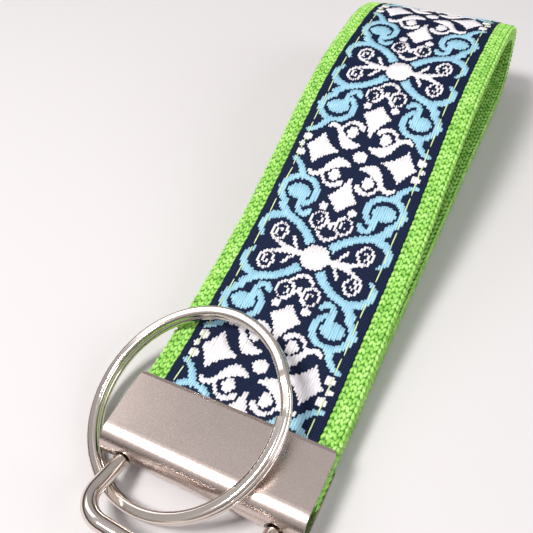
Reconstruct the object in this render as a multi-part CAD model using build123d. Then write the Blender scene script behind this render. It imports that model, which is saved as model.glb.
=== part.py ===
from build123d import *
import os
from math import atan2, cos, hypot, pi, radians, sin, tan

# A wristlet keychain, in millimetres. A strap of webbing with a woven ribbon sewn to it is
# folded into a loop, its two ends lie one on the other in a folded metal clamp, a wire bail
# hangs in the clamp's fold, and a split ring hangs on the bail.
# +X runs across the strap, +Y along it from the clamp to the loop's far end, +Z up. The
# origin is on the surface that the strap lies on, in the middle of its flat underside.

# Strap
webbing_width = 31.75
webbing_thickness = 3.0
ribbon_width = 25.4
ribbon_thickness = 0.4
thread_width = 0.4
thread_depth = 0.15
stitch_inset = 1.7           # stitch line to ribbon edge
thread_mouth_gap = 0.3
mouth_run = 5.0              # strap leaves the clamp level for this length
settle_start = 2.1           # underside leaves the clamp level for this length
settle_run = 7.0             # and reaches the surface this far from the clamp

# Side outline of the loop: heights above the surface, distances from the clamp's mouth or
# from the loop's far end
loop_length = 105.5
rise_from_mouth = 28.8
rise_height = 9.4
crown_front_from_end = 38.2
crown_front_height = 21.8
crown_back_from_end = 14.3
crown_back_height = 22.9
far_side_height = 15.6
arc_share = 0.45             # share of the shorter run that a corner's arc takes up

# Clamp
clamp_width = 32.0
clamp_depth = 12.45
clamp_height = 6.4
clamp_sheet = 0.75
lip_length = 0.6
lip_bite = 0.2
clamp_corner_radius = 0.9

# Bail
bail_wire = 2.4
bail_leg_spacing = 24.2
bail_length = 13.1
bail_bow = 0.9
bail_corner_radius = 4.6
bail_end_length = 4.6        # each inturned end, along the clamp's fold
bail_end_radius = 1.7
bail_end_clearance = 0.08    # wire end to the fold's inner wall
hinge_beyond_fold = 0.3      # hinge, in front of the fold's centre
slot_clearance = 0.35
strap_end_clearance = 0.35

# Split ring
ring_outer_diameter = 32.5
ring_wire_radial = 1.7
ring_wire_axial = 1.12
ring_wire_fillet = 0.54
ring_coil_gap = 0.06
ring_jog_angle = 24.0        # stretch over which the wire steps from one coil to the other
ring_jog_at = 22.0           # its middle, measured from the ring's own X axis
ring_end_gap = 1.5           # degrees between each wire end and the step
ring_heading = 40.0          # direction the ring rises in, from +Y towards +X
ring_low_inside_edge = 0.3   # low point, in from the clamp's left edge
ring_low_beyond_fold = 1.7   # low point, in front of the clamp's fold
ring_floor_gap = 0.12
ring_clamp_gap = 0.3
ring_bail_gap = 0.3

# Working values
cut_margin = 0.5             # a cutting solid reaches this far past what it cuts
steepest = 45.0              # degrees
angle_step = 0.25            # degrees
jog_steps = 6

fold_radius = clamp_height / 2
fold_y = fold_radius - clamp_depth
fold_front_y = -clamp_depth
hinge_z = clamp_sheet + bail_wire / 2 + bail_end_clearance
hinge_y = fold_y - hinge_beyond_fold
strap_end_y = hinge_y + bail_wire / 2 + strap_end_clearance
strap_thickness = webbing_thickness + ribbon_thickness
stitch_x = ribbon_width / 2 - stitch_inset
origin_y = (settle_run + loop_length - far_side_height * arc_share) / 2

ring_radius = (ring_outer_diameter - ring_wire_radial) / 2
ring_axial = 2 * ring_wire_axial + ring_coil_gap


# ---- Side outlines: closed rings of (y, z) corners, counter-clockwise ----

def strap_corners():
    """Outer face of the folded strap. The edge from last to first corner is its cut ends."""
    return [
        (strap_end_y, clamp_sheet),
        (settle_start, clamp_sheet),
        (settle_run, 0.0),
        (loop_length, 0.0),
        (loop_length, far_side_height),
        (loop_length - crown_back_from_end, crown_back_height),
        (loop_length - crown_front_from_end, crown_front_height),
        (rise_from_mouth, rise_height),
        (mouth_run, clamp_height - clamp_sheet),
        (strap_end_y, clamp_height - clamp_sheet),
    ]


def corner_turn(before, corner, after):
    """Signed turn at a corner, in radians, and the shorter of its two runs."""
    way_in = (corner[0] - before[0], corner[1] - before[1])
    way_out = (after[0] - corner[0], after[1] - corner[1])
    cross = way_in[0] * way_out[1] - way_in[1] * way_out[0]
    dot = way_in[0] * way_out[0] + way_in[1] * way_out[1]
    return atan2(cross, dot), min(hypot(*way_in), hypot(*way_out))


def arc_radii(corners):
    """Radius at each corner of the outer face; the two corners at the cut ends stay square."""
    radii = []
    for i in range(1, len(corners) - 1):
        turn, run = corner_turn(corners[i - 1], corners[i], corners[i + 1])
        radii.append(arc_share * run / tan(abs(turn) / 2))
    return [0.0] + radii + [0.0]


def line_crossing(a, b, c, d):
    """Where the line a-b crosses the line c-d."""
    ab = (b[0] - a[0], b[1] - a[1])
    cd = (d[0] - c[0], d[1] - c[1])
    share = ((c[0] - a[0]) * cd[1] - (c[1] - a[1]) * cd[0]) / (ab[0] * cd[1] - ab[1] * cd[0])
    return a[0] + share * ab[0], a[1] + share * ab[1]


def moved_edge(a, b, distance):
    """The edge a-b, moved to its left by a distance."""
    length = hypot(b[0] - a[0], b[1] - a[1])
    normal = (-(b[1] - a[1]) / length, (b[0] - a[0]) / length)
    return [(p[0] + distance * normal[0], p[1] + distance * normal[1]) for p in (a, b)]


def inset(corners, radii, distance):
    """The outline moved inwards, arcs kept concentric. Its cut-end edge stays where it is."""
    count = len(corners)
    edges = [moved_edge(corners[i], corners[(i + 1) % count], distance) for i in range(count - 1)]
    edges.append([corners[-1], corners[0]])
    moved = [line_crossing(*edges[i - 1], *edges[i]) for i in range(count)]
    new_radii = [0.0]
    for i in range(1, count - 1):
        turn, _ = corner_turn(corners[i - 1], corners[i], corners[i + 1])
        new_radii.append(radii[i] - distance if turn > 0 else radii[i] + distance)
    return moved, new_radii + [0.0]


def outline_face(corners, radii):
    """Face in the YZ plane inside a ring of corners, each rounded to its radius."""
    inner = FilletPolyline(*[(0, y, z) for y, z in corners], radius=radii[1:-1])
    closing = Line((0, *corners[-1]), (0, *corners[0]))
    return make_face(Wire([*inner.edges(), closing]))


def across(face, width, x=0.0):
    """Extrude a YZ face across the strap, centred on x."""
    return Pos(x - width / 2, 0, 0) * extrude(face, width, dir=(1, 0, 0))


def strap_face(depth):
    """Everything inside the strap's outer face, less a skin of this depth."""
    corners = strap_corners()
    return outline_face(*inset(corners, arc_radii(corners), depth))


def loop_opening_face(depth):
    """The open loop inside the strap, down to this depth below its outer face. Nearer the
    clamp the two layers are pressed together, so it starts in a point."""
    corners = strap_corners()
    moved, radii = inset(corners, arc_radii(corners), depth)
    point = line_crossing(moved[2], moved[3], moved[7], moved[8])
    return outline_face([point] + moved[3:8], [0.0] + radii[3:7] + [0.0])


# ---- Strap ----

def strap_band(outer_depth, inner_depth, width, x=0.0):
    """One layer of the strap, between two depths below its outer face."""
    inside = across(strap_face(inner_depth), width + 2 * cut_margin, x)
    return across(strap_face(outer_depth), width, x) - inside


def needle_thread(side):
    """Thread lying in the ribbon's outer face, from the clamp's mouth round to the mouth."""
    band = strap_band(0.0, thread_depth, thread_width, side * stitch_x)
    behind_mouth = (Align.CENTER, Align.MAX, Align.CENTER)
    in_clamp = Box(clamp_width, clamp_depth, 2 * clamp_height, align=behind_mouth)
    return band - Pos(0, thread_mouth_gap, 0) * in_clamp


def jacquard_ribbon():
    ribbon = strap_band(0.0, ribbon_thickness, ribbon_width)
    for side in (-1, 1):
        ribbon -= needle_thread(side)
    return ribbon - key_fob_clamp()


def bobbin_thread(side):
    x = side * stitch_x
    inside = across(loop_opening_face(strap_thickness), thread_width + 2 * cut_margin, x)
    return across(loop_opening_face(strap_thickness - thread_depth), thread_width, x) - inside


def webbing_strap():
    whole = across(strap_face(ribbon_thickness), webbing_width)
    strap = whole - across(loop_opening_face(strap_thickness), webbing_width + 2 * cut_margin)
    for side in (-1, 1):
        strap -= bobbin_thread(side)
    return strap


# ---- Clamp ----

def clamp_side(depth):
    """Side of the clamp at this depth below its outer face, lips turned in at the mouth."""
    low, high = depth, clamp_height - depth
    plates = Polyline(
        (0, fold_y, low),
        (0, -lip_length, low),
        (0, 0, low + lip_bite),
        (0, 0, high - lip_bite),
        (0, -lip_length, high),
        (0, fold_y, high),
        close=True,
    )
    fold = Pos(0, fold_y, fold_radius) * Rot(0, 90, 0) * Cylinder(fold_radius - depth, clamp_width)
    return across(make_face(plates.edges()), clamp_width) + fold


def bail_slots():
    """Openings that the bail's legs come out of: round over the leg, open to the underside."""
    radius = bail_wire / 2 + slot_clearance
    in_front = (Align.CENTER, Align.CENTER, Align.MIN)
    in_front_and_below = (Align.CENTER, Align.MAX, Align.MAX)
    over_leg = Rot(90, 0, 0) * Cylinder(radius, clamp_depth, align=in_front)
    below_leg = Box(2 * radius, clamp_depth, 2 * clamp_height, align=in_front_and_below)
    at_leg = Pos(0, radius, 0) * (over_leg + below_leg)
    slots = [Pos(side * bail_leg_spacing / 2, 0, 0) * at_leg for side in (-1, 1)]
    return [bail_place() * slot for slot in slots]


def key_fob_clamp():
    clamp = clamp_side(0.0) - clamp_side(clamp_sheet)
    mouth_corners = clamp.edges().filter_by(Plane.YZ.offset(clamp_width / 2)) \
        .filter_by(lambda edge: abs(edge.center().Y) < 0.01)
    mouth_corners += clamp.edges().filter_by(Plane.YZ.offset(-clamp_width / 2)) \
        .filter_by(lambda edge: abs(edge.center().Y) < 0.01)
    clamp = fillet(mouth_corners, clamp_corner_radius)
    for slot in bail_slots():
        clamp -= slot
    return clamp


# ---- Rest pose of the ring and the bail ----

# Points round the double wire's rounded section, as shares of its width and its height
RING_SECTION = [(r, a) for r in (-0.5, 0.5) for a in (-0.3, 0.3)]
RING_SECTION += [(r, a) for r in (-0.25, 0.25) for a in (-0.5, 0.5)]


def ring_plane(slope):
    """The ring's own frame: its axis is Z, its low point lies in front of the fold."""
    heading = radians(ring_heading)
    rise = Vector(cos(slope) * sin(heading), cos(slope) * cos(heading), sin(slope))
    axis = Vector(-sin(slope) * sin(heading), -sin(slope) * cos(heading), cos(slope))
    outer_drop = (ring_radius + ring_wire_radial / 2) * sin(slope)
    centre_z = ring_floor_gap + outer_drop + ring_axial / 2 * cos(slope)
    low_x = ring_low_inside_edge - clamp_width / 2
    low = Vector(low_x, fold_front_y - ring_low_beyond_fold, centre_z - ring_radius * sin(slope))
    centre = low + rise * ring_radius
    return Plane(origin=centre, x_dir=Vector(0, 1, 0).cross(axis), z_dir=axis)


def ring_surface_points(plane):
    """Points on the ring's surface, 2 degrees apart."""
    points = []
    for degree in range(0, 360, 2):
        way = plane.x_dir * cos(radians(degree)) + plane.y_dir * sin(radians(degree))
        for radial, axial in RING_SECTION:
            out = way * (ring_radius + radial * ring_wire_radial)
            points.append(plane.origin + out + plane.z_dir * (axial * ring_axial))
    return points


def distance_to_clamp(point):
    """Distance from a point to the clamp's outside, with the mouth taken as far away."""
    beside = max(abs(point.X) - clamp_width / 2, 0.0)
    in_front = min(point.Y - fold_y, 0.0)
    above = max(hypot(in_front, point.Z - fold_radius) - fold_radius, 0.0)
    return hypot(beside, above)


def gap_to_clamp(slope):
    """Smallest distance from the ring's surface to the clamp, up to the clamp's mouth."""
    return min(distance_to_clamp(p) for p in ring_surface_points(ring_plane(slope)) if p.Y < 0)


def gap_to_leg(tilt, points):
    """Smallest distance from the ring's surface to the bail's left leg."""
    along = Vector(0, -cos(tilt), sin(tilt))
    start = Vector(-bail_leg_spacing / 2, hinge_y, hinge_z)
    return min((point - start).cross(along).length for point in points) - bail_wire / 2


def smallest_angle(gap, wanted):
    """Smallest angle up to the steepest, in radians, that leaves the gap wanted."""
    angle = 0.0
    while gap(angle) < wanted and angle < radians(steepest):
        angle += radians(angle_step)
    return angle


ring_slope = smallest_angle(gap_to_clamp, ring_clamp_gap)
ring_rest = ring_plane(ring_slope)
near_leg = [
    p for p in ring_surface_points(ring_rest)
    if p.Y < fold_front_y and abs(p.X + bail_leg_spacing / 2) < bail_wire
]
bail_tilt = smallest_angle(lambda tilt: gap_to_leg(tilt, near_leg), ring_bail_gap)


def bail_place():
    """The bail's own frame: X along its hinge, -Y along its legs."""
    return Location((0, hinge_y, hinge_z), (-bail_tilt * 180 / pi, 0, 0))


# ---- Bail and ring ----

def wire_bail():
    """One wire: an inturned end in the fold, a leg, a bowed bar, a leg, an inturned end."""
    half = bail_leg_spacing / 2
    path = FilletPolyline(
        (half - bail_end_length, 0),
        (half, 0),
        (half, -bail_length),
        (0, -bail_length - bail_bow),
        (-half, -bail_length),
        (-half, 0),
        (bail_end_length - half, 0),
        radius=[
            bail_end_radius,
            bail_corner_radius,
            arc_share * half / tan(atan2(bail_bow, half)),
            bail_corner_radius,
            bail_end_radius,
        ],
    )
    start = Plane(origin=path @ 0, z_dir=path % 0)
    return bail_place() * sweep(start * Circle(bail_wire / 2), path=path)


def coil_section(angle, level):
    """The wire's section, standing on a radius of the ring at an angle in degrees."""
    at = Rot(0, 0, angle) * Pos(ring_radius, 0, level) * Rot(90, 0, 0)
    return at * RectangleRounded(ring_wire_radial, ring_wire_axial, ring_wire_fillet)


def coil(start, end, level):
    """A flat turn of wire from one angle to the other."""
    return revolve(coil_section(start, level), Axis.Z, end - start)


def jog(start, end, level):
    """The step from the coil below to the one above, eased at both ends."""
    sections = []
    for i in range(jog_steps + 1):
        share = i / jog_steps
        height = -level * cos(pi * share)
        sections.append(coil_section(start + (end - start) * share, height))
    return loft(sections)


def split_ring():
    """Two flat turns of one wire, joined by a step."""
    level = (ring_wire_axial + ring_coil_gap) / 2
    start = ring_jog_at - ring_jog_angle / 2
    end = ring_jog_at + ring_jog_angle / 2
    above = coil(end, start + 360 - ring_end_gap, level)
    below = coil(end + ring_end_gap, start + 360, -level)
    return ring_rest.location * (above + jog(start, end, level) + below)


# ---- Parts ----

PARTS = {
    "webbing_strap": webbing_strap,
    "jacquard_ribbon": jacquard_ribbon,
    "needle_thread_left": lambda: needle_thread(-1),
    "needle_thread_right": lambda: needle_thread(1),
    "bobbin_thread_left": lambda: bobbin_thread(-1),
    "bobbin_thread_right": lambda: bobbin_thread(1),
    "key_fob_clamp": key_fob_clamp,
    "wire_bail": wire_bail,
    "split_ring": split_ring,
}

os.makedirs("parts", exist_ok=True)
for name, make in PARTS.items():
    export_step(Pos(0, -origin_y, 0) * make(), f"parts/{name}.step")
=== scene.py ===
import math

import bpy
import numpy as np
from mathutils import Matrix, Vector


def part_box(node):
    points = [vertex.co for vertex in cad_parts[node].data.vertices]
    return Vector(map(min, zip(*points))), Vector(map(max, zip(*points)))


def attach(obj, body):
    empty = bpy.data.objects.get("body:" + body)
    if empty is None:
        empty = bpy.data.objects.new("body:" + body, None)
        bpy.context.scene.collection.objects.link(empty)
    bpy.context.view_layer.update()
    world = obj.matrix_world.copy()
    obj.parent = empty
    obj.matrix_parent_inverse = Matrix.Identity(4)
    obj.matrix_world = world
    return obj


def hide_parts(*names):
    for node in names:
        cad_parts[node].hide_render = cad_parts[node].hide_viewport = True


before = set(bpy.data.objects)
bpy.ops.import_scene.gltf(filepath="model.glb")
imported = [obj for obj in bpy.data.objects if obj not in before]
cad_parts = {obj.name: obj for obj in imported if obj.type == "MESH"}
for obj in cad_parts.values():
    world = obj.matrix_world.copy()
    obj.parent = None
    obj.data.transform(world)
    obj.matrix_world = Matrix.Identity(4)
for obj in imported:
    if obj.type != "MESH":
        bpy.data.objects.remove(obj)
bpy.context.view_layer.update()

MM = 0.001
random = np.random.default_rng(31)

# ---- Sizes, in metres. Places come from the frame's boxes ----

CLAMP_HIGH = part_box("key_fob_clamp")[1]
RIBBON_LOW, RIBBON_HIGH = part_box("jacquard_ribbon")
WEBBING_LOW, WEBBING_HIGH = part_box("webbing_strap")
MOUTH_Y = CLAMP_HIGH[1]
STRAP_END_Y = WEBBING_LOW[1]
LOOP_END_Y = RIBBON_HIGH[1]
CLAMP_TOP = CLAMP_HIGH[2]
WEBBING_WIDTH = WEBBING_HIGH[0] - WEBBING_LOW[0]
RIBBON_WIDTH = RIBBON_HIGH[0] - RIBBON_LOW[0]

CLAMP_SHEET = 0.75 * MM
LIP_BITE = 0.3 * MM
RIBBON_THICKNESS = 0.4 * MM
STRAP_THICKNESS = 3.4 * MM
PINCH_RUN = 12.5 * MM              # from the clamp's mouth, over which the two layers part
PINCH_REACH = 40 * MM              # from the strap's ends, where the layers may be pinched
STITCH_X = RIBBON_WIDTH / 2 - 1.7 * MM

SETTLE_START = 2.1 * MM            # the lower run comes down to the floor between these,
SETTLE_RUN = 7.0 * MM              # from the clamp's mouth
MOUTH_RUN = 5.0 * MM
RISE_FROM_MOUTH, RISE_HEIGHT = 28.8 * MM, 9.4 * MM
CROWN_FRONT_FROM_END, CROWN_FRONT_HEIGHT = 38.2 * MM, 21.8 * MM
CROWN_BACK_FROM_END, CROWN_BACK_HEIGHT = 14.3 * MM, 22.9 * MM
FAR_SIDE_HEIGHT = 15.6 * MM
ARC_SHARE = 0.45                   # of the shorter run that a corner's arc takes up
LINE_STEP = 0.1 * MM

# Slow waves across the strap: how far, over what length, and where each starts
SWAYS = [(0.10 * MM, 19 * MM, 0), (0.06 * MM, 7.3 * MM, 1)]
LOWEST = 0.01 * MM                 # the strap's pieces stay this far above the floor
LIP_BEHIND_MOUTH = 0.6 * MM
LIP_SPREAD = 0.9 * MM
END_TRIM = 0.1 * MM                # bands end this far inside the strap's cut ends

PATTERN_START = 8.0 * MM           # clamp mouth to the first large white motif
HALF_REPEAT = 21.14 * MM           # large white motif to the next cross


# ---- The strap's line: every strap piece is made flat and laid along it ----

def outline_corners():
    """Outer face of the folded strap, from its upper cut end round to its lower one."""
    high = CLAMP_TOP - CLAMP_SHEET
    return [
        (STRAP_END_Y, high),
        (MOUTH_Y + MOUTH_RUN, high),
        (MOUTH_Y + RISE_FROM_MOUTH, RISE_HEIGHT),
        (LOOP_END_Y - CROWN_FRONT_FROM_END, CROWN_FRONT_HEIGHT),
        (LOOP_END_Y - CROWN_BACK_FROM_END, CROWN_BACK_HEIGHT),
        (LOOP_END_Y, FAR_SIDE_HEIGHT),
        (LOOP_END_Y, 0.0),
        (MOUTH_Y + SETTLE_RUN, 0.0),
        (MOUTH_Y + SETTLE_START, CLAMP_SHEET),
        (STRAP_END_Y, CLAMP_SHEET),
    ]


def rounded_line(corners, step):
    """Points every step along straight runs and tangent arcs, and the arc length at each."""
    points = [np.array(corners[0])]
    for before, corner, after in zip(corners, corners[1:], corners[2:]):
        before, corner, after = (np.array(p) for p in (before, corner, after))
        way_in = (corner - before) / np.linalg.norm(corner - before)
        way_out = (after - corner) / np.linalg.norm(after - corner)
        turn = math.atan2(way_in[0] * way_out[1] - way_in[1] * way_out[0], way_in @ way_out)
        reach = ARC_SHARE * min(np.linalg.norm(corner - before), np.linalg.norm(after - corner))
        radius = reach / math.tan(abs(turn) / 2)
        start = corner - way_in * reach
        side = math.copysign(1.0, turn)
        centre = start + side * radius * np.array([-way_in[1], way_in[0]])
        for share in np.linspace(0, 1, max(3, int(abs(turn) * radius / step))):
            c, s = math.cos(turn * share), math.sin(turn * share)
            arm = start - centre
            points.append(centre + np.array([c * arm[0] - s * arm[1], s * arm[0] + c * arm[1]]))
    points.append(np.array(corners[-1]))
    points = np.array(points)
    length = np.concatenate([[0], np.cumsum(np.linalg.norm(np.diff(points, axis=0), axis=1))])
    even = np.arange(0, length[-1], step)
    return np.stack([np.interp(even, length, points[:, i]) for i in range(2)], 1), even


LINE, LINE_S = rounded_line(outline_corners(), LINE_STEP)
LINE_WAY = np.gradient(LINE, LINE_S, axis=0)
LINE_WAY /= np.linalg.norm(LINE_WAY, axis=1)[:, None]
STRAP_LENGTH = LINE_S[-1]
MOUTH_S = MOUTH_Y - STRAP_END_Y


def along_line(s, values):
    """Y and Z of the line's points or directions, at the lengths s."""
    return (np.interp(s, LINE_S, values[:, i]) for i in range(2))


def lay(x, s, height):
    """Flat strap coordinates to space: x across, s along, height above the outer face."""
    y, z = along_line(s, LINE)
    way_y, way_z = along_line(s, LINE_WAY)
    across = x
    for far, length, start in SWAYS:
        across = across + far * np.sin(s / length + start)
    return np.stack([across, y - way_z * height, np.maximum(z + way_y * height, LOWEST)], -1)


def bite(s):
    """How far the clamp's lips press the strap in, at each end."""
    lips = (MOUTH_S - LIP_BEHIND_MOUTH, STRAP_LENGTH - MOUTH_S + LIP_BEHIND_MOUTH)
    return sum(LIP_BITE * np.exp(-((s - lip) / LIP_SPREAD) ** 2) for lip in lips)


def layer_depth(s):
    """Depth of the strap's inner face: full thickness, less where the layers are pinched."""
    y, z = along_line(s, LINE)
    share = np.clip((y - MOUTH_Y) / PINCH_RUN, 0, 1)
    middle = CLAMP_TOP / 2 + share * (STRAP_THICKNESS - CLAMP_TOP / 2)
    near = (s < PINCH_REACH) | (s > STRAP_LENGTH - PINCH_REACH)
    return np.where(near, np.minimum(STRAP_THICKNESS, np.abs(z - middle)), STRAP_THICKNESS)


# Stretch where the strap has its full thickness, so that its inner face is open
OPEN_PLACES = LINE_S[layer_depth(LINE_S) > STRAP_THICKNESS - 0.02 * MM]


# ---- Mesh helpers ----

def new_object(name, vertices, faces, material):
    """A smooth mesh piece that rides with the strap and the clamp."""
    mesh = bpy.data.meshes.new(name)
    mesh.from_pydata(np.asarray(vertices).reshape(-1, 3).tolist(), [], faces)
    mesh.materials.append(material)
    mesh.shade_smooth()
    mesh.update()
    obj = bpy.data.objects.new(name, mesh)
    bpy.context.scene.collection.objects.link(obj)
    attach(obj, "strap_and_clamp")
    return obj


def grid_faces(rows, columns, around=False, start=0):
    """Quads of a grid of vertices, rows by columns. around joins the last column to the first."""
    last = columns if around else columns - 1
    i, j = np.meshgrid(np.arange(rows - 1), np.arange(last), indexing="ij")
    k = (j + 1) % columns
    below, above = i * columns, (i + 1) * columns
    quads = np.stack([below + j, below + k, above + k, above + j], -1)
    return (quads.reshape(-1, 4) + start).tolist()


def set_uv(obj, flat):
    """Lays the piece's flat coordinates, in millimetres, into its UV map."""
    layer = obj.data.uv_layers.new(name="flat")
    index = np.empty(len(obj.data.loops), dtype=np.int32)
    obj.data.loops.foreach_get("vertex_index", index)
    layer.data.foreach_set("uv", (np.asarray(flat).reshape(-1, 2) / MM)[index].ravel())


# ---- Yarns: short closed lens shapes, made in flat strap coordinates ----

# A yarn's section from one side over its top to the other: shares of half its width, its height
FLOAT_RING = [(-1, 0), (-0.5, 0.9), (0.5, 0.9), (1, 0)]
YARN_RING = [(-1, 0), (-0.62, 0.8), (0.62, 0.8), (1, 0)]
FLOAT_SEGMENT = 1.2 * MM
FLOAT_DIVE = 0.14                  # of a segment, at each end, where a float rises
YARN_PLACES = np.array([-0.5, -0.3, 0.0, 0.3, 0.5])
YARN_DIVE = 0.7                    # share of its height by which a yarn's tips go down


class YarnMesh:
    """Collects yarns as vertices (x, s, height) and faces, and makes one object of them."""

    def __init__(self):
        self.points, self.faces, self.count = [], [], 0

    def add(self, path, across, up, widths, heights, ring):
        """One yarn: tips at the path's ends, a ring of points at each place between them."""
        path = np.asarray(path, float)
        shape = np.asarray(ring, float)
        rings = (path[1:-1, None]
                 + np.asarray(widths)[:, None, None] / 2 * shape[None, :, :1] * np.asarray(across)
                 + np.asarray(heights)[:, None, None] * shape[None, :, 1:] * np.asarray(up))
        rows, columns = rings.shape[:2]
        first = self.count + 1
        last = first + rows * columns
        self.points.append(np.concatenate([path[:1], rings.reshape(-1, 3), path[-1:]]))
        self.faces += grid_faces(rows, columns, around=True, start=first)
        for j in range(columns):
            k = (j + 1) % columns
            self.faces.append([first + k, first + j, self.count])
            self.faces.append([last - columns + j, last - columns + k, last])
        self.count = last + 1

    def make(self, name, material):
        """One object of all the yarns, laid on the strap's line."""
        flat = np.concatenate(self.points)
        obj = new_object(name, lay(*flat.T), self.faces, material)
        set_uv(obj, flat[:, :2])
        return obj


def add_float(yarns, x, start, end, base, width, rise):
    """A float of satin yarn lying along the strap, low at its ends where it dives in."""
    steps = 2 + int((end - start) / FLOAT_SEGMENT)
    share = np.linspace(0, 1, steps + 2)
    share[1], share[-2] = FLOAT_DIVE / steps, 1 - FLOAT_DIVE / steps
    s = start + (end - start) * share
    swell = np.minimum(1, 0.72 + 0.9 * np.sin(math.pi * share[1:-1]))
    path = np.stack([np.full_like(s, x), s, base - bite(s)], -1)
    path[[0, -1], 2] -= rise
    yarns.add(path, (1, 0, 0), (0, 0, 1), width * swell, rise * swell, FLOAT_RING)


def add_yarn(yarns, centre, along, across, up, length, width, rise):
    """A plump knitted yarn loop."""
    centre = np.asarray(centre, float) - np.array([0, 0, bite(centre[1])])
    path = centre + YARN_PLACES[:, None] * length * np.asarray(along)
    path[[0, -1]] -= np.asarray(up) * rise * YARN_DIVE
    widths = width * np.array([0.8, 1, 0.8])
    heights = rise * np.array([0.7, 1, 0.7])
    yarns.add(path, across, up, widths, heights, YARN_RING)


# ---- Woven pattern: a quarter of the repeat, in millimetres ----
# u runs from the ribbon's middle line to its edge, v from the large white motif to the cross.
# Each shape gives a distance that is below zero inside it.

def ellipse(u, v, centre, radii, power=2.0):
    """A filled ellipse; powers other than 2 square it up or pinch it in."""
    a = np.abs((u - centre[0]) / radii[0]) ** power + np.abs((v - centre[1]) / radii[1]) ** power
    return (a ** (1 / power) - 1) * min(radii)


def stroke(u, v, points):
    """A line of changing width through (u, v, width) points."""
    inside = np.full(np.broadcast(u, v).shape, 99.0)
    for (au, av, aw), (bu, bv, bw) in zip(points, points[1:]):
        du, dv = bu - au, bv - av
        share = np.clip(((u - au) * du + (v - av) * dv) / (du * du + dv * dv), 0, 1)
        gap = np.hypot(u - au - share * du, v - av - share * dv) - (aw + share * (bw - aw)) / 2
        inside = np.minimum(inside, gap)
    return inside


def arc(u, v, centre, radii, angles, widths, tighten=1.0):
    """A stroke round an ellipse between two angles; tighten below 1 winds it inwards."""
    points = []
    for share in np.linspace(0, 1, ARC_POINTS):
        angle = math.radians(angles[0] + (angles[1] - angles[0]) * share)
        size = 1 + (tighten - 1) * share
        points.append((
            centre[0] + radii[0] * size * math.cos(angle),
            centre[1] + radii[1] * size * math.sin(angle),
            widths[0] + (widths[1] - widths[0]) * share,
        ))
    return stroke(u, v, points)


def concave_kite(u, v, corners, bows):
    """A four-cornered shape with sides bowed in: (u, v) corners, and each side's bow in mm."""
    inside = np.full(np.broadcast(u, v).shape, -99.0)
    for a, b, deep in zip(corners, corners[1:] + corners[:1], bows):
        du, dv = b[0] - a[0], b[1] - a[1]
        length = math.hypot(du, dv)
        along = ((u - a[0]) * du + (v - a[1]) * dv) / length
        out = ((u - a[0]) * dv - (v - a[1]) * du) / length
        bow = deep * np.clip(4 * along * (length - along) / length ** 2, 0, 1)
        inside = np.maximum(inside, out + bow)
    return inside


HALF = HALF_REPEAT / MM
NAVY_GAP = 0.3                     # bare ground left round the white floats
ARC_POINTS = 25


def white_pattern(u, v):
    """Below zero where the white floats lie."""
    shapes = [
        ellipse(u, v, (0, 0), (1.35, 1.3), 1.6),
        stroke(u, v, [(0.9, 2.3, 0.4), (2.1, 1.95, 1.5), (3.2, 2.0, 2.3), (4.3, 2.9, 1.7),
                      (5.2, 4.2, 1.0), (6.0, 5.2, 1.0), (7.1, 5.5, 1.0), (7.9, 4.9, 0.6)]),
        ellipse(u, v, (3.1, 4.7), (1.0, 1.35)),
        arc(u, v, (3.2, 4.9), (1.9, 2.0), (150, -20), (1.15, 0.35)),
        concave_kite(u, v, [(3.9, 0), (8.0, -3.7), (10.3, 0), (8.0, 3.7)], (0.5, 0.2, 0.2, 0.5)),
        ellipse(u, v, (10.7, 1.75), (0.85, 0.85)),
        ellipse(u, v, (11.2, 0), (0.6, 0.55)),
        concave_kite(u, v, [(0, 3.5), (2.75, 9.1), (0, 12.0), (-2.75, 9.1)], (0.5, 0.1, 0.1, 0.5)),
        ellipse(u, v, (2.6, 11.2), (0.75, 0.85)),
        arc(u, v, (2.25, 14.0), (1.4, 1.65), (250, -110), (0.75, 0.3)),
        arc(u, v, (2.25, 14.0), (0.65, 0.85), (250, 60), (0.3, 0.4), 0.5),
        stroke(u, v, [(0, 17.5, 0.8), (1.0, 17.1, 0.7), (1.9, 16.1, 0.45)]),
        stroke(u, v, [(0, 14.9, 0.8), (0, 14.2, 0.8)]),
        ellipse(u, v, (0, HALF), (2.25, 2.45), 2.6),
        stroke(u, v, [(2.7, HALF, 1.1), (4.8, HALF, 1.5), (6.1, 20.6, 0.95), (7.6, 20.1, 0.6)]),
        arc(u, v, (7.7, 18.2), (1.35, 1.8), (80, -280), (0.55, 0.4), 0.85),
        arc(u, v, (7.75, 18.2), (0.65, 0.9), (90, -150), (0.4, 0.45), 0.45),
        stroke(u, v, [(3.6, 20.4, 0.5), (4.3, 19.6, 0.6), (4.9, 18.5, 0.6)]),
    ]
    return np.minimum.reduce(shapes)


def blue_pattern(u, v):
    """Below zero where the light blue floats lie."""
    shapes = [
        ellipse(u, v, (7.85, 9.65), (2.0, 1.65), 2.2),
        arc(u, v, (7.9, 9.5), (3.2, 3.0), (125, 418), (1.1, 1.4)),
        stroke(u, v, [(6.7, 10.9, 1.0), (6.95, 12.4, 1.0), (6.4, 13.6, 1.1), (5.3, 13.8, 1.2),
                      (4.6, 12.9, 1.0)]),
        stroke(u, v, [(1.3, 19.5, 1.9), (3.1, 17.3, 1.6), (5.2, 15.7, 1.5), (8.0, 14.6, 1.6),
                      (9.6, 13.0, 1.5)]),
        stroke(u, v, [(8.6, 14.9, 1.5), (10.4, 15.5, 1.6), (11.4, 16.9, 1.2), (11.3, 18.6, 1.1),
                      (10.5, 19.7, 0.7)]),
        stroke(u, v, [(8.4, 6.6, 1.5), (9.3, 4.8, 1.2), (10.3, 3.7, 1.0), (11.3, 3.3, 1.0)]),
    ]
    return np.maximum(np.minimum.reduce(shapes), NAVY_GAP - white_pattern(u, v))


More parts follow.
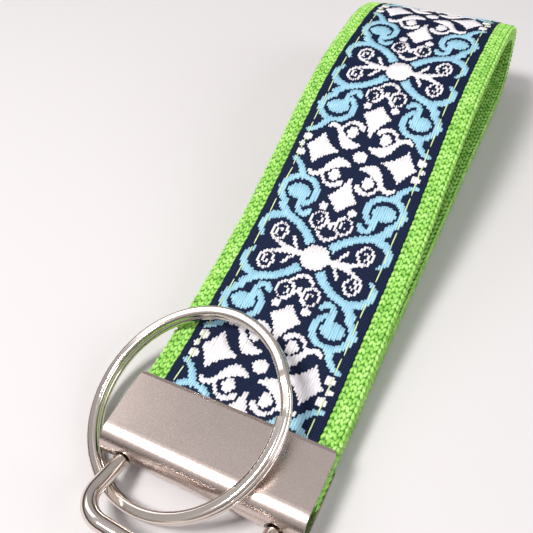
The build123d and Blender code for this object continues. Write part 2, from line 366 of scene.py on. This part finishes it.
FLOAT_COLUMNS = 66
FLOAT_PITCH = RIBBON_WIDTH / FLOAT_COLUMNS
GROUND_DEPTH = 0.12 * MM           # ribbon's ground below its outer face
FLOAT_BASE = 0.02 * MM - GROUND_DEPTH  # a float's foot, so that its crown stands 0.02 mm proud
SAMPLES = 400                      # along half a repeat
SHORT_FLOAT = 0.68 * MM            # floats under this are narrower and flatter
SHORTEST_FLOAT = 0.15 * MM
FLOAT_END_MARGIN = 0.3 * MM        # bare ribbon at the strap's cut ends
COLUMN_STAGGER = 0.16 * MM         # between the ends of neighbouring floats
FLOAT_LENGTH_JITTER = 0.05 * MM
FLOAT_SIDE_JITTER = 0.012 * MM


def runs(inside):
    """Start and end index of each stretch of True."""
    edges = np.flatnonzero(np.diff(np.concatenate([[0], inside.astype(int), [0]])))
    return list(zip(edges[::2], edges[1::2]))


def woven_floats(pattern, name, material):
    """Every float of one colour over the whole ribbon."""
    yarns = YarnMesh()
    v = np.linspace(0, HALF, SAMPLES)
    repeat_from = MOUTH_S + PATTERN_START - 2 * HALF_REPEAT
    steps = int((STRAP_LENGTH - repeat_from) / (2 * HALF_REPEAT)) + 1
    for column in range(FLOAT_COLUMNS):
        x = (column + 0.5) * FLOAT_PITCH - RIBBON_WIDTH / 2
        quarter = pattern(np.array(abs(x) / MM), v) < 0
        whole = np.concatenate([quarter, quarter[::-1]])
        doubled = np.concatenate([whole] * (steps + 1))
        stagger = (column % 2 - 0.5) * COLUMN_STAGGER
        for first, last in runs(doubled):
            start = repeat_from + first * HALF_REPEAT / SAMPLES
            end = repeat_from + last * HALF_REPEAT / SAMPLES
            low, high = random.normal(0, FLOAT_LENGTH_JITTER, 2)
            start, end = start + low - stagger, end + high + stagger
            off_ribbon = start < FLOAT_END_MARGIN or end > STRAP_LENGTH - FLOAT_END_MARGIN
            if end - start < SHORTEST_FLOAT or off_ribbon:
                continue
            width_share, height_share = (0.78, 0.8) if end - start < SHORT_FLOAT else (1.3, 1.0)
            add_float(yarns, x + random.normal(0, FLOAT_SIDE_JITTER), start, end, FLOAT_BASE,
                      FLOAT_PITCH * width_share, GROUND_DEPTH * height_share)
    return yarns.make(name, material)


# ---- Strap pieces ----

def band(name, profile, material, s_from, s_to, step):
    """A closed band: profile(s) gives the section's (x, height) points at a place."""
    places = np.linspace(s_from, s_to, int((s_to - s_from) / step))
    flat = []
    for s in places:
        section = np.asarray(profile(s))
        flat.append(np.column_stack([section[:, 0], np.full(len(section), s), section[:, 1] - bite(s)]))
    flat = np.array(flat)
    rows, columns = flat.shape[:2]
    faces = grid_faces(rows, columns, around=True)
    faces.append(list(range(columns))[::-1])
    faces.append(list(range((rows - 1) * columns, rows * columns)))
    obj = new_object(name, lay(*flat.reshape(-1, 3).T), faces, material)
    set_uv(obj, flat.reshape(-1, 3)[:, :2])
    return obj


def rounded_section(width, top, bottom, round_top, round_bottom, top_points, bottom_points):
    """Section of a band: its top, right side, bottom and left side."""
    half = width / 2
    upper = half - round_top
    lower = half - round_bottom
    right = []
    for angle in np.radians([60, 30, 0]):
        right.append((upper + round_top * math.cos(angle), top - round_top + round_top * math.sin(angle)))
    for angle in np.radians([0, -30, -60]):
        right.append((lower + round_bottom * math.cos(angle),
                      bottom + round_bottom + round_bottom * math.sin(angle)))
    over = [(x, top) for x in np.linspace(-upper, upper, top_points)]
    under = [(x, bottom) for x in np.linspace(lower, -lower, bottom_points)]
    left = [(-x, height) for x, height in right[::-1]]
    return over + right + under + left


RIBBON_ROUND = 0.12 * MM
RIBBON_UNDER_ROUND = 0.05 * MM
RIBBON_STEP = 0.35 * MM            # between the sections of its mesh
SELVEDGE_WIDTH = 0.9 * MM          # the ribbon's thicker woven edge
SELVEDGE_SLOPE = 0.4 * MM
SELVEDGE_RISE = 0.06 * MM
SELVEDGE_LOOP = 0.05 * MM          # small waves of its outer rim
SELVEDGE_LOOP_LENGTH = 0.55 * MM


def ribbon_profile(s):
    """Section of the ribbon's ground at a place."""
    section = np.array(rounded_section(
        RIBBON_WIDTH, -GROUND_DEPTH, -RIBBON_THICKNESS, RIBBON_ROUND, RIBBON_UNDER_ROUND, 27, 9))
    from_middle = np.abs(section[:, 0])
    edge = np.clip((from_middle - (RIBBON_WIDTH / 2 - SELVEDGE_WIDTH)) / SELVEDGE_SLOPE, 0, 1)
    outer_face = section[:, 1] > -0.75 * RIBBON_THICKNESS
    rim = SELVEDGE_LOOP * math.sin(s / SELVEDGE_LOOP_LENGTH) * (edge > 0.9)
    section[:, 1] += SELVEDGE_RISE * edge * outer_face
    section[:, 0] += rim * np.sign(section[:, 0])
    return section


def ribbon_ground(material):
    """The navy ground: a thin band with thicker woven edges, a little below the floats."""
    return band("ribbon_ground", ribbon_profile, material, END_TRIM, STRAP_LENGTH - END_TRIM, RIBBON_STEP)


BASE_SUNK = 0.16 * MM              # the webbing's body below the yarns that cover it
BASE_ROUND = 0.75 * MM
BASE_STEP = 0.8 * MM


def webbing_profile(s):
    """Section of the webbing's body at a place."""
    depth = float(layer_depth(s)) - BASE_SUNK
    return rounded_section(
        WEBBING_WIDTH - 2 * BASE_SUNK, -RIBBON_THICKNESS, -depth, BASE_ROUND, BASE_ROUND, 14, 14)


def webbing_base(material):
    """The webbing's body, just under its yarns; its dark green is painted shade that shows in the gaps
    between them.
    """
    return band("webbing_base", webbing_profile, material, END_TRIM, STRAP_LENGTH - END_TRIM, BASE_STEP)


YARN_LENGTH = 1.45 * MM
YARN_STEP = 1.12 * MM
YARN_PITCH = 0.56 * MM
YARN_TILT = 0.36                   # radians, to each side in turn
YARN_RISE = 0.30 * MM
YARN_OVERLAP = 1.12                # a yarn's width, in pitches
YARN_END_MARGIN = 0.8 * MM
MARGIN_COLUMNS = 6
WALL_COLUMNS = 4
WALL_OVERLAP = 1.15
FLAT_COLUMNS = 3.6                 # the margin's columns beyond this drop towards the side wall
COLUMN_DROP = 0.15 * MM
INNER_COLUMNS = 52
INNER_STRETCH = 1.2                # the inside's loops are longer by this, and lower
INNER_RISE = 0.22 * MM
MARGIN_INSET = 0.05 * MM           # loops' centres, in from the webbing's faces
WALL_INSET = 0.26 * MM
INNER_INSET = 0.22 * MM
WALL_EDGE = 0.25 * MM              # left free of loops at each edge of a side wall
INNER_EDGE = 0.45 * MM
SIDE_JITTER = 0.025 * MM
ROW_JITTER = 0.05 * MM
TILT_JITTER = 0.12                 # shares of the tilt and of the rise
RISE_JITTER = 0.1


def row_shift(column):
    """Every second pair of knitted columns starts half a loop further on."""
    return 0.5 * YARN_STEP * (column // 2 % 2)


def yarn_rows(column):
    """Places of a column's loops, from end to end of the strap."""
    return np.arange(YARN_END_MARGIN + row_shift(column), STRAP_LENGTH - YARN_END_MARGIN, YARN_STEP)


def yarn_tilt(column):
    """A loop's lean: left and right by turns, each a little different."""
    return (-1) ** column * YARN_TILT * (1 + random.normal(0, TILT_JITTER))


def flat_place(x, s, height):
    """Centre of a loop on a flat face, a little out of line."""
    return (x + random.normal(0, SIDE_JITTER), s + random.normal(0, ROW_JITTER), height)


def uneven_rise():
    """A loop's height."""
    return YARN_RISE * (1 + random.normal(0, RISE_JITTER))


def margin_yarns(material):
    """Knitted columns on the webbing's margins beside the ribbon, and down its side walls."""
    yarns = YarnMesh()
    margin = (WEBBING_WIDTH - RIBBON_WIDTH) / 2
    for side in (-1, 1):
        for column in range(MARGIN_COLUMNS):
            x = side * (RIBBON_WIDTH / 2 + (column + 0.5) * margin / MARGIN_COLUMNS)
            drop = COLUMN_DROP * max(0, column - FLAT_COLUMNS) ** 2
            for s in yarn_rows(column):
                tilt = yarn_tilt(column)
                centre = flat_place(x, s, -RIBBON_THICKNESS - MARGIN_INSET - drop)
                along = (math.sin(tilt), math.cos(tilt), 0)
                across = (math.cos(tilt), -math.sin(tilt), 0)
                add_yarn(yarns, centre, along, across, (0, 0, 1), YARN_LENGTH,
                         YARN_PITCH * YARN_OVERLAP, uneven_rise())
        for column in range(WALL_COLUMNS):
            for s in yarn_rows(column):
                pitch = (float(layer_depth(s)) - RIBBON_THICKNESS - 2 * WALL_EDGE) / WALL_COLUMNS
                height = -RIBBON_THICKNESS - WALL_EDGE - (column + 0.5) * pitch
                tilt = yarn_tilt(column)
                centre = (side * (WEBBING_WIDTH / 2 - WALL_INSET), s + random.normal(0, ROW_JITTER), height)
                along = (0, math.cos(tilt), math.sin(tilt))
                across = (0, -math.sin(tilt), math.cos(tilt))
                add_yarn(yarns, centre, along, across, (side, 0, 0), YARN_LENGTH,
                         pitch * WALL_OVERLAP, uneven_rise())
    return yarns.make("webbing_margin_yarns", material)


def inner_yarns(material):
    """The same knitted columns over the inside of the loop."""
    yarns = YarnMesh()
    pitch = (WEBBING_WIDTH - 2 * INNER_EDGE) / INNER_COLUMNS
    for column in range(INNER_COLUMNS):
        x = (column + 0.5 - INNER_COLUMNS / 2) * pitch
        start = OPEN_PLACES[0] + row_shift(column)
        for s in np.arange(start, OPEN_PLACES[-1], INNER_STRETCH * YARN_STEP):
            tilt = yarn_tilt(column)
            centre = flat_place(x, s, -STRAP_THICKNESS + INNER_INSET)
            along = (math.sin(tilt), math.cos(tilt), 0)
            across = (math.cos(tilt), -math.sin(tilt), 0)
            add_yarn(yarns, centre, along, across, (0, 0, -1), INNER_STRETCH * YARN_LENGTH,
                     pitch * YARN_OVERLAP, INNER_RISE)
    return yarns.make("webbing_inner_yarns", material)


STITCH_LENGTH = 3.1 * MM
STITCH_GAP = 0.35 * MM
STITCH_PLACES = np.array([0, 0.06, 0.3, 0.55, 0.8, 0.94, 1])
STITCH_SWELL = np.array([0.7, 1, 1, 1, 0.7])
STITCH_WIDTH = 0.24 * MM
STITCH_RISE = 0.14 * MM
STITCH_DIVE = 0.25 * MM
STITCH_WANDER = 0.06 * MM
SEAM_MARGIN = 0.5 * MM             # clamp's mouth to the first needle stitch


def stitches(name, x, material, height, up, s_from, s_to):
    """A straight row of lockstitches, each one diving in at its ends."""
    yarns = YarnMesh()
    for start in np.arange(s_from, s_to - STITCH_LENGTH, STITCH_LENGTH + STITCH_GAP):
        begin, finish = random.normal(0, STITCH_WANDER, 2)
        path = np.stack([
            x + begin + (finish - begin) * STITCH_PLACES,
            start + STITCH_LENGTH * STITCH_PLACES,
            np.full_like(STITCH_PLACES, height),
        ], -1)
        path[[0, -1], 2] -= up * STITCH_DIVE
        yarns.add(path, (1, 0, 0), (0, 0, up), STITCH_WIDTH * STITCH_SWELL, STITCH_RISE * STITCH_SWELL,
                  YARN_RING)
    return yarns.make(name, material)


# ---- Materials ----

def node_material(name, colour, roughness, metallic=0.0, sheen=0.0, specular=0.5):
    """A Principled material. Returns it with its nodes, links and shader."""
    material = bpy.data.materials.new(name)
    material.use_nodes = True
    nodes, links = material.node_tree.nodes, material.node_tree.links
    shader = nodes["Principled BSDF"]
    shader.inputs["Base Color"].default_value = (*colour, 1)
    shader.inputs["Roughness"].default_value = roughness
    shader.inputs["Metallic"].default_value = metallic
    shader.inputs["Sheen Weight"].default_value = sheen
    shader.inputs["Specular IOR Level"].default_value = specular
    material.diffuse_color = (*colour, 1)
    return material, nodes, links, shader


def coordinates(nodes, links, kind, scale):
    """Texture coordinates of one kind (UV or Object), stretched by scale."""
    source = nodes.new("ShaderNodeTexCoord")
    mapping = nodes.new("ShaderNodeMapping")
    mapping.inputs["Scale"].default_value = scale
    links.new(source.outputs[kind], mapping.inputs["Vector"])
    return mapping.outputs["Vector"]


def noise(nodes, links, vector, scale, detail=3.0, roughness=0.55):
    """Noise texture's factor."""
    node = nodes.new("ShaderNodeTexNoise")
    node.inputs["Scale"].default_value = scale
    node.inputs["Detail"].default_value = detail
    node.inputs["Roughness"].default_value = roughness
    links.new(vector, node.inputs["Vector"])
    return node.outputs["Fac"]


def ramp(nodes, links, factor, stops):
    """Colour ramp; stops are (place, colour)."""
    node = nodes.new("ShaderNodeValToRGB")
    elements = node.color_ramp.elements
    while len(elements) < len(stops):
        elements.new(0.5)
    for element, (place, colour) in zip(elements, stops):
        element.position = place
        element.color = (*colour, 1)
    links.new(factor, node.inputs["Fac"])
    return node.outputs["Color"]


def bump(nodes, links, shader, height, strength, distance, under=None):
    """Bump from a height factor, on top of another bump where under is given."""
    node = nodes.new("ShaderNodeBump")
    node.inputs["Strength"].default_value = strength
    node.inputs["Distance"].default_value = distance
    links.new(height, node.inputs["Height"])
    if under is not None:
        links.new(under, node.inputs["Normal"])
    links.new(node.outputs["Normal"], shader.inputs["Normal"])
    return node.outputs["Normal"]


def spread(nodes, links, shader, factor, low, high):
    """Roughness that follows a texture between two values."""
    node = nodes.new("ShaderNodeMapRange")
    node.inputs["To Min"].default_value = low
    node.inputs["To Max"].default_value = high
    links.new(factor, node.inputs["Value"])
    links.new(node.outputs["Result"], shader.inputs["Roughness"])


def weighted_sum(nodes, links, first, weight, second, second_weight):
    """Two factors added up, each times its weight."""
    scaled = nodes.new("ShaderNodeMath")
    scaled.operation = "MULTIPLY"
    scaled.inputs[1].default_value = second_weight
    links.new(second, scaled.inputs[0])
    total = nodes.new("ShaderNodeMath")
    total.operation = "MULTIPLY_ADD"
    total.inputs[1].default_value = weight
    links.new(first, total.inputs[0])
    links.new(scaled.outputs["Value"], total.inputs[2])
    return total.outputs["Value"]


def wave(nodes, links, vector, direction, scale, distortion):
    """Wave texture's node, banded across one direction."""
    node = nodes.new("ShaderNodeTexWave")
    node.bands_direction = direction
    node.inputs["Scale"].default_value = scale
    node.inputs["Distortion"].default_value = distortion
    links.new(vector, node.inputs["Vector"])
    return node


def satin_yarn(name, dark, middle, light, roughness):
    """Shiny filament yarn: fine filaments along it, slow changes of tone across the cloth."""
    material, nodes, links, shader = node_material(name, middle, roughness, specular=0.45)
    filaments = coordinates(nodes, links, "UV", (9.0, 0.55, 1))
    fine = noise(nodes, links, filaments, 1.6, 4)
    patches = noise(nodes, links, coordinates(nodes, links, "UV", (0.35, 0.22, 1)), 1.0, 2)
    tone = weighted_sum(nodes, links, fine, 0.7, patches, 0.3)
    colour = ramp(nodes, links, tone, [(0.30, dark), (0.52, middle), (0.72, light)])
    links.new(colour, shader.inputs["Base Color"])
    spread(nodes, links, shader, fine, roughness - 0.08, roughness + 0.12)
    bump(nodes, links, shader, fine, 0.5, 0.03 * MM)
    return material


def cotton_yarn(name, dark, middle, light, sheen):
    """Soft spun cotton: fibres, a little fuzz and uneven dye."""
    material, nodes, links, shader = node_material(name, middle, 0.8, sheen=sheen, specular=0.25)
    fibres = noise(nodes, links, coordinates(nodes, links, "Object", (9000, 3500, 9000)), 1.0, 4, 0.7)
    patches = noise(nodes, links, coordinates(nodes, links, "Object", (650, 650, 650)), 1.0, 3)
    tone = weighted_sum(nodes, links, patches, 0.55, fibres, 0.45)
    colour = ramp(nodes, links, tone, [(0.32, dark), (0.5, middle), (0.68, light)])
    links.new(colour, shader.inputs["Base Color"])
    bump(nodes, links, shader, fibres, 0.6, 0.06 * MM)
    return material


def navy_ground():
    """Ribbon ground: fine warp satin with weft ribs across it, navy dye with painted shade in the ribs'
    hollows and painted highlight on their crowns.
    """
    material, nodes, links, shader = node_material("navy_ground", (0.006, 0.013, 0.05), 0.7, specular=0.12)
    flat = coordinates(nodes, links, "UV", (1, 1, 1))
    weft = wave(nodes, links, flat, "Y", 0.75, 0.9)
    weft.inputs["Detail"].default_value = 2.0
    weft.inputs["Detail Scale"].default_value = 2.5
    warp = wave(nodes, links, flat, "X", 0.82, 0.4)
    threads = nodes.new("ShaderNodeMath")
    threads.operation = "MULTIPLY"
    links.new(weft.outputs["Fac"], threads.inputs[0])
    links.new(warp.outputs["Fac"], threads.inputs[1])
    # Darker where the threads' relief is low and lighter on its crowns: painted shade and highlight that
    # follow the bump, over the navy dye.
    colour = ramp(nodes, links, threads.outputs["Value"], [
        (0.0, (0.002, 0.005, 0.020)), (0.5, (0.004, 0.010, 0.040)), (1.0, (0.013, 0.027, 0.09))])
    links.new(colour, shader.inputs["Base Color"])
    fuzz = noise(nodes, links, coordinates(nodes, links, "UV", (6, 2, 1)), 1.5, 4)
    spread(nodes, links, shader, fuzz, 0.45, 0.7)
    first = bump(nodes, links, shader, threads.outputs["Value"], 0.7, 0.05 * MM)
    bump(nodes, links, shader, fuzz, 0.3, 0.02 * MM, under=first)
    return material


def nickel(name, colour, roughness, grain, grain_strength):
    """Plated steel: faint brushed grain, soft marks, slightly uneven polish."""
    material, nodes, links, shader = node_material(name, colour, roughness, metallic=1.0)
    brushed = noise(nodes, links, coordinates(nodes, links, "Object", grain), 1.0, 3)
    marks = noise(nodes, links, coordinates(nodes, links, "Object", (3200, 3200, 3200)), 1.0, 3, 0.6)
    spread(nodes, links, shader, marks, roughness * 0.72, roughness * 1.28)
    handled = noise(nodes, links, coordinates(nodes, links, "Object", (110, 110, 110)), 1.0, 2, 0.5)
    darker = tuple(c * 0.955 for c in colour)
    lighter = tuple(min(1.0, c * 1.03) for c in colour)
    tone = ramp(nodes, links, handled, [(0.3, darker), (0.5, colour), (0.7, lighter)])
    links.new(tone, shader.inputs["Base Color"])
    bump(nodes, links, shader, brushed, grain_strength, 0.01 * MM)
    return material


WHITE_YARN = satin_yarn(
    "white_satin_yarn", (0.50, 0.47, 0.50), (0.80, 0.77, 0.80), (0.93, 0.91, 0.93), 0.45)
BLUE_YARN = satin_yarn(
    "blue_satin_yarn", (0.18, 0.38, 0.52), (0.29, 0.53, 0.66), (0.46, 0.70, 0.80), 0.45)
GREEN_COTTON = cotton_yarn(
    "green_cotton_yarn", (0.10, 0.30, 0.028), (0.31, 0.62, 0.12), (0.58, 0.82, 0.30), 0.05)
# Dark green for the webbing's body: painted shade that shows in the gaps between the knitted yarns, not the
# yarn's own colour.
GREEN_PAINTED_SHADE = cotton_yarn(
    "green_cotton_painted_shade", (0.02, 0.11, 0.006), (0.06, 0.22, 0.015), (0.10, 0.32, 0.03), 0.0)
SEWING_THREAD = satin_yarn(
    "sewing_thread", (0.42, 0.55, 0.24), (0.58, 0.70, 0.36), (0.76, 0.84, 0.56), 0.5)
SATIN_NICKEL = nickel("satin_nickel", (0.66, 0.555, 0.515), 0.26, (5200, 900, 5200), 0.22)
POLISHED_NICKEL = nickel("polished_nickel", (0.76, 0.685, 0.63), 0.12, (900, 900, 900), 0.10)


# ---- Build the pieces ----

webbing = webbing_base(GREEN_PAINTED_SHADE)
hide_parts("webbing_strap")
webbing_yarns = [margin_yarns(GREEN_COTTON), inner_yarns(GREEN_COTTON)]

ribbon = ribbon_ground(navy_ground())
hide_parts("jacquard_ribbon")
floats = [
    woven_floats(white_pattern, "ribbon_white_floats", WHITE_YARN),
    woven_floats(blue_pattern, "ribbon_blue_floats", BLUE_YARN),
]

needle, bobbin = [], []
for side, word in ((-1, "left"), (1, "right")):
    piece = stitches(f"needle_stitches_{word}", side * STITCH_X, SEWING_THREAD, 0.0, 1,
                     MOUTH_S + SEAM_MARGIN, STRAP_LENGTH - MOUTH_S - SEAM_MARGIN)
    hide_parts(f"needle_thread_{word}")
    needle.append(piece)
    piece = stitches(f"bobbin_stitches_{word}", side * STITCH_X, SEWING_THREAD, -STRAP_THICKNESS, -1,
                     OPEN_PLACES[0], OPEN_PLACES[-1])
    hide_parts(f"bobbin_thread_{word}")
    bobbin.append(piece)

for node, material in (("key_fob_clamp", SATIN_NICKEL), ("wire_bail", POLISHED_NICKEL),
                       ("split_ring", POLISHED_NICKEL)):
    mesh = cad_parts[node].data
    mesh.materials.clear()
    mesh.materials.append(material)


# ---- Floor, light and camera ----

FLOOR_HALF = 3.0
FLOOR_Z = -0.05 * MM
# Darker floor colour round the object: painted shade; FLOOR_FAR is the floor's own pale colour.
FLOOR_PAINTED_SHADE = (0.58, 0.56, 0.565)
FLOOR_FAR = (0.95, 0.93, 0.935)


def make_floor():
    """Plain pale floor, with painted shade darkening it towards the object and lighter away from it."""
    corners = [(x * FLOOR_HALF, y * FLOOR_HALF, FLOOR_Z) for x, y in ((-1, -1), (1, -1), (1, 1), (-1, 1))]
    mesh = bpy.data.meshes.new("floor")
    mesh.from_pydata(corners, [], [(0, 1, 2, 3)])
    material, nodes, links, shader = node_material("floor", FLOOR_PAINTED_SHADE, 0.85, specular=0.2)
    painted_shade_falloff = nodes.new("ShaderNodeTexGradient")
    painted_shade_falloff.gradient_type = "SPHERICAL"
    links.new(coordinates(nodes, links, "Object", (1.1, 1.1, 1.1)), painted_shade_falloff.inputs["Vector"])
    # Darker towards the middle, where the object stands: painted shade on the floor.
    colour = ramp(nodes, links, painted_shade_falloff.outputs["Fac"], [(0.2, FLOOR_FAR), (0.85, FLOOR_PAINTED_SHADE)])
    links.new(colour, shader.inputs["Base Color"])
    mesh.materials.append(material)
    floor = bpy.data.objects.new("floor", mesh)
    bpy.context.scene.collection.objects.link(floor)


def area_light(name, place, target, size, power, colour):
    """A square light at a place, turned to its target."""
    light = bpy.data.lights.new(name, "AREA")
    light.size = size
    light.energy = power
    light.color = colour
    obj = bpy.data.objects.new(name, light)
    obj.location = place
    obj.rotation_euler = (Vector(target) - Vector(place)).to_track_quat("-Z", "Y").to_euler()
    bpy.context.scene.collection.objects.link(obj)


def make_world():
    """Pale surroundings, warm and darker towards the horizon so that the metal has contrast."""
    world = bpy.data.worlds.new("studio")
    world.use_nodes = True
    nodes, links = world.node_tree.nodes, world.node_tree.links
    source = nodes.new("ShaderNodeTexCoord")
    split = nodes.new("ShaderNodeSeparateXYZ")
    links.new(source.outputs["Generated"], split.inputs["Vector"])
    colour = ramp(nodes, links, split.outputs["Z"], [
        (0.0, (0.10, 0.075, 0.065)), (0.25, (0.16, 0.125, 0.11)), (0.40, (0.70, 0.68, 0.68)),
        (0.62, (0.80, 0.78, 0.78)), (1.0, (1.0, 0.99, 1.0))])
    links.new(colour, nodes["Background"].inputs["Color"])
    nodes["Background"].inputs["Strength"].default_value = 0.58
    backdrop = nodes.new("ShaderNodeBackground")
    backdrop.inputs["Color"].default_value = (0.90, 0.885, 0.89, 1)
    path = nodes.new("ShaderNodeLightPath")
    mix = nodes.new("ShaderNodeMixShader")
    links.new(path.outputs["Is Camera Ray"], mix.inputs["Fac"])
    links.new(nodes["Background"].outputs["Background"], mix.inputs[1])
    links.new(backdrop.outputs["Background"], mix.inputs[2])
    links.new(mix.outputs["Shader"], nodes["World Output"].inputs["Surface"])
    bpy.context.scene.world = world


CAMERA_AZIMUTH, CAMERA_ELEVATION, CAMERA_ROLL = 29.85, 47.94, -4.85
CAMERA_DISTANCE = 0.11437
CAMERA_TARGET = Vector((-0.00863, -0.02518, 0.005))
CAMERA_LENS = 44.06


def make_camera():
    """Camera on a sphere round its target, rolled about its line of sight."""
    azimuth, elevation, roll = np.radians((CAMERA_AZIMUTH, CAMERA_ELEVATION, CAMERA_ROLL)).tolist()
    level_reach = math.cos(elevation)
    back = Vector((
        math.sin(azimuth) * level_reach, -math.cos(azimuth) * level_reach, math.sin(elevation)))
    level = Vector((math.cos(azimuth), math.sin(azimuth), 0))
    upward = back.cross(level)
    right = level * math.cos(roll) + upward * math.sin(roll)
    up = upward * math.cos(roll) - level * math.sin(roll)
    camera = bpy.data.cameras.new("camera")
    camera.lens = CAMERA_LENS
    camera.clip_start = 0.005
    obj = bpy.data.objects.new("camera", camera)
    place = Matrix.Translation(CAMERA_TARGET + back * CAMERA_DISTANCE)
    obj.matrix_world = place @ Matrix((right, up, back)).transposed().to_4x4()
    bpy.context.scene.collection.objects.link(obj)
    bpy.context.scene.camera = obj


make_floor()
make_world()
area_light("key", (-0.15, -0.21, 0.44), (0, -0.02, 0), 0.13, 2.6, (1.0, 0.985, 0.965))
area_light("fill", (0.45, -0.02, 0.28), (0, 0, 0), 0.3, 1.1, (0.97, 0.98, 1.0))
area_light("left", (-0.36, 0.06, 0.34), (-0.01, -0.05, 0), 0.22, 0.26, (1.0, 0.99, 0.98))
make_camera()
bpy.context.scene.view_settings.view_transform = "Standard"
